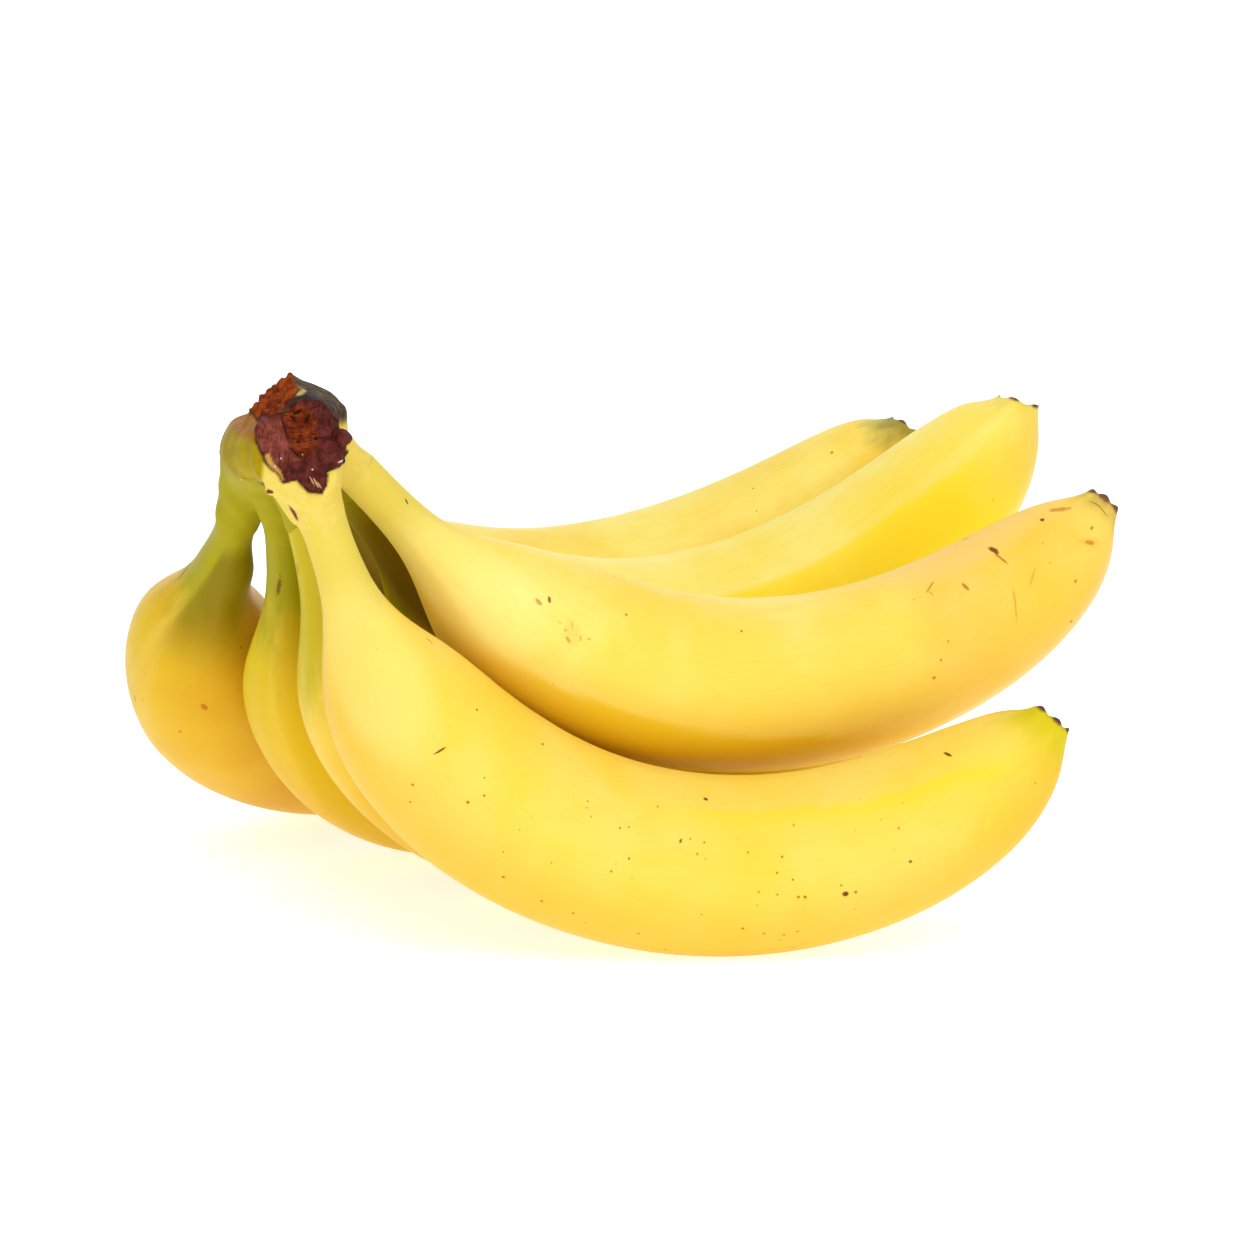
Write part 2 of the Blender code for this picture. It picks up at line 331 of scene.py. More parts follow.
def middle_line(finger, along):
    """The middle line's places and directions at the shares along, with the side axis and normal."""
    heading, lean = radians(finger.heading), radians(finger.lean)
    level = np.array((cos(heading), sin(heading), 0.0))
    rising = cos(lean) * np.array((0.0, 0.0, 1.0)) + sin(lean) * np.array((-sin(heading), cos(heading), 0.0))
    normal = np.cross(level, rising)
    fine = np.linspace(0.0, 1.0, LINE_PLACES)
    step = fine[1]
    bend = np.cumsum(ramp(fine, NECK_START, NECK_END)) * step
    angle = np.radians(finger.dive + (finger.rise - finger.dive) * bend / bend[-1])
    direction = np.cos(angle)[:, None] * level + np.sin(angle)[:, None] * rising
    moves = (direction[1:] + direction[:-1]) / 2.0 * step * finger.length * MM
    root = np.array(CROWN_MIDDLE) + np.array(finger.root) * MM
    places = root + np.vstack((np.zeros(3), np.cumsum(moves, axis=0)))
    at = [np.interp(along, fine, places[:, i]) for i in range(3)]
    turned = np.interp(along, fine, angle)
    ahead = np.cos(turned)[:, None] * level + np.sin(turned)[:, None] * rising
    return np.stack(at, axis=1), ahead, np.cross(normal, ahead), normal


def facet_share(finger, along, turn, facets):
    """How much a point lies on a facet between two ridges that is painted in shade or in a pale reflection.
    """
    if finger not in facets:
        return np.zeros_like(along)
    facet = facets[finger]
    past = (np.degrees(turn) % 360.0 - np.interp(along, *np.array(facet.edge).T)) * np.sign(facet.width)
    width = abs(facet.width)
    share = hump(past, 0.0, facet.softness, width - min(FACET_FADE, width), width)
    return facet.strength * share * hump(along, *facet.reach)


def neck_swell(finger, along, turn):
    """How far one side of a neck stands out before the body starts."""
    if finger not in NECK_SWELL:
        return 0.0
    place, spread, degrees_round, swell = NECK_SWELL[finger]
    away = turn_from(turn, degrees_round)
    return swell * np.exp(-(((along - place) / spread) ** 2)) * np.exp(-((away / SWELL_ROUND) ** 2))


def scar_corners(finger, turn):
    """1 at the corners that the ridges make round the old flower's scar, 0 between them."""
    corner = np.zeros_like(turn)
    for degrees_round, _ in finger.ridges:
        away = turn_from(turn, degrees_round)
        corner = np.maximum(corner, np.exp(-((away / CORNER_SPREAD) ** 2)))
    return corner


def tip_rise(finger, along, share, turn, side, normal):
    """How far the end's slanting, cornered rim stands ahead of a flat end, and its dish behind it."""
    higher = TIP_FACING.get(finger, SCAR_FACING)
    facing = np.cos(turn) * (side @ higher) + np.sin(turn) * (normal @ higher)
    slant = facing * np.where(facing > 0.0, SCAR_FRONT_RIM, SCAR_BACK_RIM)
    rise = ramp(along, 0.955, 1.0) * share * slant
    rise += ramp(along, 0.92, 1.0) * TIP_STRETCH.get(finger, 0.0)
    rise += ramp(along, 0.975, 1.0) * share * SCAR_CORNERS * (scar_corners(finger, turn) - 0.5)
    return rise - np.where(along > 0.9999, SCAR_DEPTH * (1.0 - share**3), 0.0)


def section_radius(finger, along, share, turn, ridges):
    """How far each point lies from the middle line."""
    thin = 1.0 - STEM_THINNING.get(finger, 0.0) * (1.0 - ramp(along, 0.03, 0.09))
    radius = FINGER_RADIUS * finger.girth * smooth_profile(along) * share * ridges * thin
    return radius + neck_swell(finger, along, turn) * share


def make_banana(finger):
    """A fine banana: a straight tube is given its section at each place, then bent to its line."""
    banana = straight_tube(f"{finger.node}_peel")
    points = read(banana.data.vertices, "co")
    along = np.clip(points[:, 2], 0.0, 1.0)
    share = np.clip(np.hypot(points[:, 0], points[:, 1]), 0.0, 1.0)
    turn = np.arctan2(points[:, 1], points[:, 0])
    ridges, crest = ridge_factor(finger, along, turn)
    radius = section_radius(finger, along, share, turn, ridges)
    across, up = radius * np.cos(turn), radius * np.sin(turn)
    place, ahead, side, normal = middle_line(finger, along)
    rise = tip_rise(finger, along, share, turn, side, normal)
    bent = place + across[:, None] * side + up[:, None] * normal + rise[:, None] * ahead
    if finger in OUTER_ROW:
        settled[finger] = -bent[:, 2].min() - BELLY_PRESS
        bent[:, 2] = np.maximum(bent[:, 2] + settled[finger], 0.0)
    write_points(banana, bent)
    at_end = ramp(along, 0.96, 0.985)
    scar = np.where(share < 0.9, 1.0, scar_corners(finger, turn))
    downward = -(np.cos(turn) * side[:, 2] + np.sin(turn) * normal[2])
    keep(
        banana,
        straight=np.stack((across, up, along * finger.length * MM), axis=1),
        along=along,
        ridge=crest * (1.0 - at_end) + scar * at_end,
        # painted shade on the facets that turn away from the light
        facet=facet_share(finger, along, turn, PAINTED_SHADE_FACETS),
        # a painted pale reflection where the peel turns under
        pale_facet=facet_share(finger, along, turn, PAINTED_REFLECTION_FACETS),
        # how far a point faces down, for the painted shade underneath
        under=ramp(downward, -0.15, 0.9),
    )
    banana.data.shade_smooth()
    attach(banana, "root")
    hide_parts(finger.node)
    return banana


# ---- The crown ----
def from_crown(place):
    return CROWN_MIDDLE + Vector(place) * MM


def add_ball(place, radius):
    bpy.ops.mesh.primitive_uv_sphere_add(
        segments=ROD_SIDES, ring_count=ROD_SIDES // 2, radius=radius, location=place
    )
    return bpy.context.object


def add_rod(start, end, start_radius, end_radius):
    """A tapered rod between two places, closed with a ball at each end."""
    line = end - start
    bpy.ops.mesh.primitive_cone_add(
        vertices=ROD_SIDES,
        radius1=start_radius,
        radius2=end_radius,
        depth=line.length,
        location=(start + end) / 2.0,
        rotation=line.to_track_quat("Z", "Y").to_euler(),
    )
    return [bpy.context.object, add_ball(start, start_radius), add_ball(end, end_radius)]


def crown_rod(start, end, start_radius, end_radius):
    """A rod given in mm from the crown's middle."""
    return add_rod(from_crown(start), from_crown(end), start_radius * MM, end_radius * MM)


def join_pieces(pieces, name):
    pick(pieces[0])
    for piece in pieces[1:]:
        piece.select_set(True)
    bpy.ops.object.join()
    joined = bpy.context.object
    joined.name = joined.data.name = name
    bpy.ops.object.transform_apply(location=True, rotation=True, scale=True)
    return joined


def apply_modifier(piece, kind, **settings):
    pick(piece)
    bpy.ops.object.modifier_add(type=kind)
    modifier = piece.modifiers[-1]
    for name, value in settings.items():
        setattr(modifier, name, value)
    bpy.ops.object.modifier_apply(modifier=modifier.name)


def remesh(piece, voxel, smoothings=0):
    """Makes one skin of joined pieces, and rubs it smooth."""
    apply_modifier(piece, "REMESH", mode="VOXEL", voxel_size=voxel)
    if smoothings:
        apply_modifier(piece, "SMOOTH", factor=0.5, iterations=smoothings)


def stem_start(finger, out):
    """A place on a banana's stem, out millimetres from its start, in metres."""
    share = np.array((out / finger.length,))
    place, _, _, _ = middle_line(finger, share)
    place = Vector(place[0])
    if finger in OUTER_ROW:
        place.z += settled[finger]
    return place


def make_crown_bar():
    pieces = []
    for (start, start_radius), (end, end_radius) in zip(CROWN_BAR, CROWN_BAR[1:]):
        pieces += crown_rod(start, end, start_radius, end_radius)
    bar = join_pieces(pieces, "crown_bar")
    remesh(bar, BAR_VOXEL)
    for place, outward in (FOLD_SLOPE, FOLD_END, LEFT_SIDE):
        slice_off(bar, place, outward)
    return bar


def make_crown_blank():
    pieces = [make_crown_bar()]
    for finger in OUTER_ROW + INNER_ROW:
        inner, outer, reach, root, root_radius = STEM_SKINS[finger]
        start = stem_start(finger, 0.0)
        pieces += add_rod(start, stem_start(finger, reach), inner * MM, outer * MM)
        pieces += add_rod(start, from_crown(root), inner * MM, root_radius * MM)
    for lump in CROWN_LUMPS:
        pieces += crown_rod(*lump)
    crown = join_pieces(pieces, "crown_flesh")
    remesh(crown, BLANK_VOXEL, BLANK_SMOOTHINGS)
    return crown


def slice_off(piece, place, outward):
    """Cuts away what lies beyond a plane and closes the cut."""
    pick(piece)
    bpy.ops.object.mode_set(mode="EDIT")
    bpy.ops.mesh.select_all(action="SELECT")
    bpy.ops.mesh.bisect(
        plane_co=from_crown(place), plane_no=Vector(outward).normalized(), use_fill=True, clear_outer=True
    )
    bpy.ops.object.mode_set(mode="OBJECT")


def distance_in(outline, across, up):
    """How deep points lie inside an outline: positive inside, negative outside."""
    corners = np.array(outline)
    inside = np.zeros(len(across), bool)
    nearest = np.full(len(across), 1e9)
    for (x0, y0), (x1, y1) in zip(corners, np.roll(corners, -1, axis=0)):
        share = ((across - x0) * (x1 - x0) + (up - y0) * (y1 - y0)) / ((x1 - x0) ** 2 + (y1 - y0) ** 2)
        share = np.clip(share, 0.0, 1.0)
        away = np.hypot(across - x0 - share * (x1 - x0), up - y0 - share * (y1 - y0))
        nearest = np.minimum(nearest, away)
        crosses = ((y0 > up) != (y1 > up)) & (
            across < (x1 - x0) * (up - y0) / (y1 - y0 if y1 != y0 else 1e-9) + x0
        )
        inside ^= crosses
    return np.where(inside, nearest, -nearest)


def lumpy(points, size, seed):
    """Smooth noise about 0, from a few crossed waves of about the given size."""
    chance = np.random.default_rng(seed)
    total = np.zeros(len(points))
    for _ in range(WAVES):
        way = chance.normal(size=3)
        way *= 2.0 * pi / (size * chance.uniform(0.6, 1.8) * np.linalg.norm(way))
        total += np.sin(points @ way + chance.uniform(0.0, 2.0 * pi))
    return total / 3.5


def front_stem_share(points):
    """1 on the pale skin of the two front stems, 0 on the greener skin of the others."""
    nearest = {}
    for finger in OUTER_ROW + INNER_ROW:
        line = np.array([stem_start(finger, out) for out in np.linspace(0.0, 20.0, 9)])
        away = np.linalg.norm(points[:, None] - line[None], axis=2).min(axis=1) / MM
        pale = finger in (OUTER_1, INNER_1)
        nearest[pale] = np.minimum(nearest.get(pale, away), away)
    return ramp(nearest[False] - nearest[True], -3.0, 3.5)


def past_cut(cut, local):
    """How far places lie beyond a cut, in mm."""
    place, way = cut
    return (local - np.array(place)) @ np.array(Vector(way).normalized())


def cut_shares(local):
    """How deep places lie inside the dried front face, and 0 to 1 near its plane, on it, in its
    hollow and on the top cut."""
    across, _, up = local.T
    near = ramp(past_cut(FRONT_CUT, local), -7.0, -5.0)
    face = distance_in(FRONT_FACE, across + 0.16 * lumpy(local, 3.2, 5), up + 0.16 * lumpy(local, 3.0, 6))
    front = ramp(face, -0.15, 0.15) * near
    hollow = ramp(distance_in(FIBROUS_HOLLOW, across, up), -0.3, 0.8) * front
    top = ramp(past_cut(TOP_CUT, local), -0.9, -0.35)
    top *= ramp(up + 0.2 * across + 0.3 * lumpy(local, 2.5, 9), 10.8, 11.4)
    return face, near, front, hollow, top


def crown_lift(local, over_lip, face, near, front, hollow, top):
    """How far the crown's skin is lifted, in mm: the cut faces are rough and the lip stands out."""
    lift = 0.75 * ramp(face, -0.1, 0.7) * near - 1.5 * hollow
    lift += front * 0.22 * lumpy(local * (1.0, 1.0, 2.5), 4.0, 1) + hollow * 0.35 * lumpy(local, 1.6, 2)
    rough = 0.45 * lumpy(local, 3.0, 3) + 0.3 * lumpy(local * (1.0, 3.0, 1.0), 1.8, 4) - 0.3
    lift += top * (1.0 - front) * rough
    lift += (1.0 - front) * (1.0 - top) * 0.18 * lumpy(local, 6.0, 7)
    lip = hump(over_lip, -0.3, 0.2, 0.6, 4.5)
    return lift + 0.7 * lip * (1.0 - ramp(local[:, 0], -3.5, -1.0))


def sculpt_crown(crown):
    """Gives the crown its relief, and keeps the places of its cuts, folds and edges, and of a painted shadow
    under its lip and a painted highlight along it.
    """
    points, normals = read(crown.data.vertices, "co"), read(crown.data.vertex_normals, "vector")
    local = (points - np.array(CROWN_MIDDLE)) / MM
    across, back, up = local.T
    face, near, front, hollow, top = cut_shares(local)
    over_lip = up - np.interp(across, *np.array(LIP).T) + 0.15 * lumpy(local, 5.0, 8)
    lift = crown_lift(local, over_lip, face, near, front, hollow, top)
    write_points(crown, points + normals * (lift * MM)[:, None])
    fold = ramp(up + 0.45 * across - 0.05 * back, 16.5, 19.0)
    fold *= ramp(-back + 2.0 * lumpy(local, 6.0, 11), 14.0, 20.0) * (1.0 - top)
    beside = hump(-face, -0.6, -0.3, 1.5, 2.2) * near * ramp(up, 11.0, 12.0)
    right = ramp(across, 1.5, 3.0)
    left = 1.0 - ramp(across, -3.0, -2.0)
    above = -face * ramp(up + 0.5 * across, 14.0, 16.5) * near
    above *= ramp(past_cut(FRONT_CUT, local), -5.0, -3.0)
    keep(
        crown,
        from_middle=local,
        # a painted highlight along the lip, and a painted shadow under it
        lip_light=left * hump(over_lip, -0.1, 0.1, 0.3, 0.7),
        lip_shade=left * hump(over_lip, -2.2, -0.5, -0.15, 0.0),
        brow=hump(above, -0.1, 0.1, 0.9, 1.2),
        pale_crease=hump(above, 1.1, 1.3, 1.6, 1.9),
        front_cut=front,
        hollow=hollow,
        top_cut=np.maximum(top, beside * (1.0 - right)),
        fold=np.maximum(fold, beside * right),
        face_edge=front * (1.0 - ramp(face, 0.15, 0.7)),
        tan_patch=front * ramp(distance_in(TAN_PATCH, across, up), -0.15, 0.15),
        band=front * ramp(distance_in(SMOOTH_BAND, across, up), -0.3, 0.5) * (1.0 - hollow),
        paleness=front_stem_share(points) * ramp(across - 0.1 * up, -2.0, -0.9),
    )


def make_crown():
    crown = make_crown_blank()
    for place, outward in (FRONT_CUT, TOP_CUT):
        slice_off(crown, place, outward)
    remesh(crown, CROWN_VOXEL, CROWN_SMOOTHINGS)
    sculpt_crown(crown)
    crown.data.shade_smooth()
    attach(crown, "root")
    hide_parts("crown")
    return crown


# ---- Materials ----
def colour(red, green, blue):
    """A display colour of 0 to 255, made linear for the shader."""
    shares = (value / 255.0 for value in (red, green, blue))
    return tuple(v / 12.92 if v <= 0.04045 else ((v + 0.055) / 1.055) ** 2.4 for v in shares) + (1.0,)


MIX_FIRST, MIX_SECOND, MIX_RESULT = 6, 7, 2  # a mix node's sockets for colours


class Wiring:
    """Adds nodes to a tree and joins them, with numbers, colours or sockets as inputs."""

    def __init__(self, tree):
        self.tree = tree

    def put(self, socket, value):
        if isinstance(value, bpy.types.NodeSocket):
            self.tree.links.new(value, socket)
        else:
            socket.default_value = value

    def fill(self, sockets, values):
        for name, value in values.items():
            self.put(sockets[name], value)

    def node(self, kind, inputs=(), **settings):
        node = self.tree.nodes.new(kind)
        for name, value in settings.items():
            setattr(node, name, value)
        self.fill(node.inputs, dict(inputs))
        return node

    def maths(self, operation, *values):
        return self.node("ShaderNodeMath", enumerate(values), operation=operation).outputs[0]

    def plus(self, first, second):
        return self.maths("ADD", first, second)

    def minus(self, first, second):
        return self.maths("SUBTRACT", first, second)

    def times(self, first, second):
        return self.maths("MULTIPLY", first, second)

    def centred(self, value, reach):
        """A noise of 0 to 1 moved to lie about 0, and reach wide."""
        return self.times(self.minus(value, 0.5), reach)

    def vector(self, operation, *values):
        node = self.node("ShaderNodeVectorMath", enumerate(values), operation=operation)
        return node.outputs["Value" if operation == "LENGTH" else "Vector"]

    def parts(self, vector):
        return tuple(self.node("ShaderNodeSeparateXYZ", {"Vector": vector}).outputs)

    def joined(self, x, y, z=0.0):
        return self.node("ShaderNodeCombineXYZ", {"X": x, "Y": y, "Z": z}).outputs[0]

    def turned(self, vector, angle, axis):
        inputs = {"Vector": vector, "Angle": angle}
        return self.node("ShaderNodeVectorRotate", inputs, rotation_type=axis).outputs[0]

    def oval(self, x, y, angle, length, width, depth=0.0):
        """How far a point lies from a turned oval's middle, as a share of its sizes."""
        x, y, _ = self.parts(self.turned(self.joined(x, y), angle, "Z_AXIS"))
        shares = self.joined(self.maths("DIVIDE", x, length), self.maths("DIVIDE", y, width), depth)
        return self.vector("LENGTH", shares)

    def step(self, value, low, high, from_value=0.0, to_value=1.0):
        """A soft step of value between low and high."""
        inputs = {"Value": value, "From Min": low, "From Max": high, "To Min": from_value, "To Max": to_value}
        return self.node("ShaderNodeMapRange", inputs, interpolation_type="SMOOTHSTEP").outputs["Result"]

    def mix(self, share, first, second):
        inputs = {"Factor": share, MIX_FIRST: first, MIX_SECOND: second}
        return self.node("ShaderNodeMix", inputs, data_type="RGBA").outputs[MIX_RESULT]

    def noise(self, place, scale, detail=3.0, roughness=0.55):
        inputs = {"Vector": place, "Scale": scale, "Detail": detail, "Roughness": roughness}
        return self.node("ShaderNodeTexNoise", inputs).outputs[0]

    def stretched_noise(self, place, stretch, *settings):
        return self.noise(self.vector("MULTIPLY", place, stretch), *settings)

    def share(self, name):
        """A number that the piece keeps at its points."""
        return self.node("ShaderNodeAttribute", attribute_name=name).outputs["Fac"]

    def place(self, name):
        return self.node("ShaderNodeAttribute", attribute_name=name).outputs["Vector"]

    def group(self, tree, inputs):
        return self.node("ShaderNodeGroup", inputs, node_tree=tree)

    def bump(self, height, distance, strength):
        inputs = {"Height": height, "Distance": distance, "Strength": strength}
        return self.node("ShaderNodeBump", inputs).outputs["Normal"]


FLOAT, VECTOR, COLOUR = "NodeSocketFloat", "NodeSocketVector", "NodeSocketColor"


def sockets(kind, *names):
    return [(name, kind) for name in names]


def new_group(name, inputs, outputs):
    """A node group: its wiring, what is given to it and what it puts out."""
    group = bpy.data.node_groups.new(name, "ShaderNodeTree")
    for kind, in_out in ((inputs, "INPUT"), (outputs, "OUTPUT")):
        for socket_name, socket_type in kind:
            group.interface.new_socket(socket_name, in_out=in_out, socket_type=socket_type)
    given, out = group.nodes.new("NodeGroupInput"), group.nodes.new("NodeGroupOutput")
    return Wiring(group), given.outputs, out.inputs


def make_mark_group():
    """A short dark mark on the peel: its place along and round the banana, turn, length and width,
    all in mm and degrees. Puts out how much of it covers a point."""
    sizes = sockets(FLOAT, "Along", "Round", "Turn", "Length", "Width", "Ragged")
    w, given, out = new_group("peel_mark", sockets(VECTOR, "Straight") + sizes, sockets(FLOAT, "Mark"))
    x, y, z = w.parts(given["Straight"])
    off = w.minus(w.maths("ARCTAN2", y, x), w.maths("RADIANS", given["Round"]))
    off = w.maths("ARCTAN2", w.maths("SINE", off), w.maths("COSINE", off))
    across = w.times(w.times(off, w.vector("LENGTH", w.joined(x, y))), 1.0 / MM)
    down = w.minus(w.times(z, 1.0 / MM), given["Along"])
    reach = w.oval(down, across, w.maths("RADIANS", given["Turn"]), given["Length"], given["Width"])
    ragged = w.centred(w.noise(given["Straight"], 900.0, 2.0), given["Ragged"])
    w.put(out["Mark"], w.step(w.plus(w.times(reach, 2.0), ragged), 1.15, 0.6))
    return w.tree


def ripe_body(w, given, cloud, mottle, fibres):
    """The body's cloudy yellow, streaked, with a painted highlight on the ridges and painted shade
    underneath.
    """
    body = w.mix(w.step(cloud, 0.35, 0.68), given["Body"], given["Deep"])
    body = w.mix(w.step(mottle, 0.42, 0.80, 0.0, 0.35), body, given["Deep"])
    # Painted highlight: the ridges' crests are paler.
    body = w.mix(w.step(given["Ridge"], 0.80, 1.0, 0.0, 0.12), body, RIDGE_HIGHLIGHT_YELLOW)
    body = w.mix(w.step(fibres, 0.45, 0.75, 0.0, 0.12), body, FIBRE_YELLOW)
    # Painted shade: the undersides are deeper yellow.
    return w.mix(w.times(given["Under"], 0.6), body, UNDERSIDE_SHADE_YELLOW)


def coloured_ends(w, given, body, cloud, ragged):
    """Puts the stem's and the tip's colours over the body, with uneven edges."""
    edge = w.plus(given["Along"], w.plus(ragged, w.centred(cloud, 0.12)))
    reach = given["Stem reach"]
    stem = w.minus(1.0, w.step(edge, w.times(reach, 0.55), reach))
    body = w.mix(stem, body, given["Stem"])
    edge = w.plus(given["Along"], w.times(ragged, 0.4))
    reach = given["Tip reach"]
    return w.mix(w.step(edge, reach, w.plus(reach, 0.05)), body, given["Tip"])


def sugar_specks(w, place, shown):
    """1 on small round specks, of which the share shown is kept."""
    dots = w.node("ShaderNodeTexVoronoi", {"Vector": place, "Scale": 330.0, "Randomness": 1.0}).outputs
    chance = w.node("ShaderNodeSeparateColor", {"Color": dots["Color"]}).outputs
    few = w.maths("GREATER_THAN", chance[0], w.minus(1.0, shown))
    reach = w.plus(0.06, w.times(chance[1], 0.10))
    return w.times(w.step(dots["Distance"], reach, w.times(reach, 0.5)), few)


def scarred_end(w, given, body, ragged):
    """Puts the dry rim and the scar of the old flower over the tip."""
    edge = w.plus(given["Along"], w.times(ragged, 0.03))
    edge = w.plus(edge, w.times(w.step(given["Ridge"], 0.3, 1.0), 0.004))
    rim = w.step(edge, given["Rim"], w.plus(given["Rim"], 0.004))
    return w.mix(rim, body, w.mix(w.step(given["Ridge"], 0.3, 0.8), DRY_TAN, DRY_BROWN))


def make_peel_group():
    """The peel of any banana, from its straightened place, its share along and its ridges."""
    w, given, out = new_group(
        "banana_peel",
        sockets(VECTOR, "Straight")
        + sockets(FLOAT, "Along", "Ridge", "Facet", "Pale facet", "Under")
        + sockets(COLOUR, "Body", "Deep", "Stem", "Tip", "Shade")
        + sockets(FLOAT, "Stem reach", "Tip reach", "Rim", "Specks", "Seed"),
        sockets(COLOUR, "Colour") + sockets(FLOAT, "Roughness", "Height"),
    )
    place = w.vector("ADD", given["Straight"], w.joined(given["Seed"], 0.0))
    lengthwise = (1.0, 1.0, 0.10)
    cloud = w.noise(place, 28.0)
    mottle = w.stretched_noise(place, (1.0, 1.0, 0.5), 160.0, 4.0)
    fibres = w.stretched_noise(place, lengthwise, 1400.0)
    ragged = w.centred(w.stretched_noise(place, lengthwise, 320.0), 0.10)
    specks = sugar_specks(w, place, given["Specks"])
    body = ripe_body(w, given, cloud, mottle, fibres)
    body = coloured_ends(w, given, body, cloud, ragged)
    body = w.mix(w.times(specks, 0.9), body, SUGAR_BROWN)
    # Painted shade on the shaded facets.
    body = w.mix(w.times(given["Facet"], 0.8), body, given["Shade"])
    # Painted reflection: the pale facet turns cream.
    body = w.mix(given["Pale facet"], body, REFLECTION_CREAM)
    w.put(out["Colour"], scarred_end(w, given, body, ragged))
    w.put(out["Roughness"], w.step(mottle, 0.3, 0.8, 0.40, 0.50))
    height = w.plus(w.times(mottle, 0.6), w.times(fibres, 0.25))
    w.put(out["Height"], w.minus(height, w.times(specks, 0.5)))
    return w.tree


def new_material(name):
    material = bpy.data.materials.new(name)
    material.use_nodes = True
    return material, material.node_tree.nodes["Principled BSDF"].inputs, Wiring(material.node_tree)


def dress(piece, material):
    piece.data.materials.clear()
    piece.data.materials.append(material)


def mark_share(w, straight, *sizes):
    """How much a mark of these sizes covers the peel."""
    names = ("Along", "Round", "Turn", "Length", "Width", "Ragged")
    return w.group(mark_group, {"Straight": straight, **dict(zip(names, sizes))}).outputs["Mark"]


def peel_material(finger):
    """A banana's own peel, with its marks, among them painted highlights and shade, and, in its patch, more
    of the specks.
    """
    material, shader, w = new_material(f"{finger.node}_peel")
    straight = w.place("straight")
    inputs = {"Straight": straight, **LOOKS[finger]}
    for socket in ("Along", "Ridge", "Facet", "Pale facet", "Under"):
        inputs[socket] = w.share(socket.lower().replace(" ", "_"))
    if finger in SPECKLED:
        *sizes, share = SPECKLED[finger]
        more = w.times(mark_share(w, straight, *sizes), share)
        inputs["Specks"] = w.plus(inputs["Specks"], more)
    peel = w.group(peel_group, inputs).outputs
    base = peel["Colour"]
    for *sizes, tint, share in MARKS.get(finger, ()):
        base = w.mix(w.times(mark_share(w, straight, *sizes), share), base, tint)
    finish = {
        "Base Color": base,
        "Roughness": peel["Roughness"],
        "Normal": w.bump(peel["Height"], 0.12 * MM, 0.5),
        "Specular IOR Level": 0.10,
        "Subsurface Weight": 0.08,
        "Subsurface Radius": (0.004, 0.002, 0.0005),
        "Subsurface Scale": 1.0,
    }
    w.fill(shader, finish)
    return material


# The ridge yellow is a painted highlight and the under yellow is painted shade.
RIDGE_HIGHLIGHT_YELLOW, FIBRE_YELLOW, UNDERSIDE_SHADE_YELLOW = colour(255, 238, 150), colour(226, 170, 40), colour(212, 162, 28)
# The cream is a painted reflection, for the pale facet.
SUGAR_BROWN, REFLECTION_CREAM = colour(180, 84, 4), colour(238, 200, 118)
DRY_TAN, DRY_BROWN = colour(150, 112, 60), colour(98, 58, 50)
YELLOW, DEEP_YELLOW = colour(247, 214, 98), colour(247, 207, 68)
LEMON, DEEP_LEMON = colour(249, 225, 120), colour(248, 213, 84)
MUSTARD, DEEP_MUSTARD = colour(226, 194, 38), colour(212, 166, 28)
GREEN_STEM, PALE_STEM = colour(166, 156, 14), colour(220, 198, 82)
LIGHT_GREEN, PALE_YELLOW, OLIVE_YELLOW = colour(200, 182, 36), colour(247, 224, 88), colour(226, 204, 24)
# Each colour named SHADE is painted shade, laid on a banana's shaded facets.
BRIGHT_LEMON, DEEP_BRIGHT, BRIGHT_SHADE = colour(250, 231, 122), colour(249, 221, 84), colour(252, 220, 12)
GREEN_TIP, GREY_TIP = colour(208, 190, 12), colour(160, 146, 64)
AMBER_SHADE, SOFT_SHADE, OLIVE_SHADE = colour(228, 186, 0), colour(251, 212, 36), colour(210, 172, 6)
DARK, RUST, TAN = colour(104, 34, 4), colour(176, 90, 14), colour(218, 160, 56)
# The pale lemon is a painted highlight; the neck shade is painted shade.
HIGHLIGHT_LEMON, NECK_SHADE = colour(252, 238, 150), colour(128, 108, 0)
# The hidden-stem olive is painted shade.
RIPE_ORANGE, PALE_TAN, GAP_SHADE_OLIVE = colour(240, 176, 34), colour(248, 208, 122), colour(112, 80, 0)


def look(*values):
    names = ("Body", "Deep", "Stem", "Tip", "Stem reach", "Tip reach", "Rim", "Specks", "Seed", "Shade")
    return dict(zip(names, values))


LOOKS = {
    OUTER_1: look(YELLOW, DEEP_YELLOW, PALE_STEM, GREEN_TIP, 0.17, 0.95, 0.998, 0.08, 0.1, SOFT_SHADE),
    OUTER_2: look(PALE_YELLOW, MUSTARD, LIGHT_GREEN, GREY_TIP, 0.22, 0.92, 0.997, 0.10, 0.7, OLIVE_SHADE),
    OUTER_3: look(OLIVE_YELLOW, MUSTARD, GREEN_STEM, GREY_TIP, 0.18, 0.92, 0.997, 0.12, 1.3, OLIVE_SHADE),
    OUTER_4: look(MUSTARD, DEEP_MUSTARD, GREEN_STEM, GREY_TIP, 0.18, 0.92, 0.997, 0.12, 1.9, NECK_SHADE),
    INNER_1: look(LEMON, DEEP_LEMON, PALE_STEM, GREY_TIP, 0.17, 0.965, 0.996, 0.06, 2.6, AMBER_SHADE),
    INNER_2: look(BRIGHT_LEMON, DEEP_BRIGHT, GREEN_STEM, PALE_STEM, 0.2, 0.97, 0.999, 0.1, 3.1, BRIGHT_SHADE),
    INNER_3: look(BRIGHT_LEMON, DEEP_LEMON, GREEN_STEM, GREY_TIP, 0.20, 0.95, 0.999, 0.14, 3.8, SOFT_SHADE),
}

# Patches with more specks, as (along mm, round degrees, turn, length, width, raggedness, share more).
SPECKLED = {OUTER_1: (118, 84, 0, 120, 44, 0, 0.75), INNER_1: (162, 60, 0, 60, 40, 0, 0.2)}
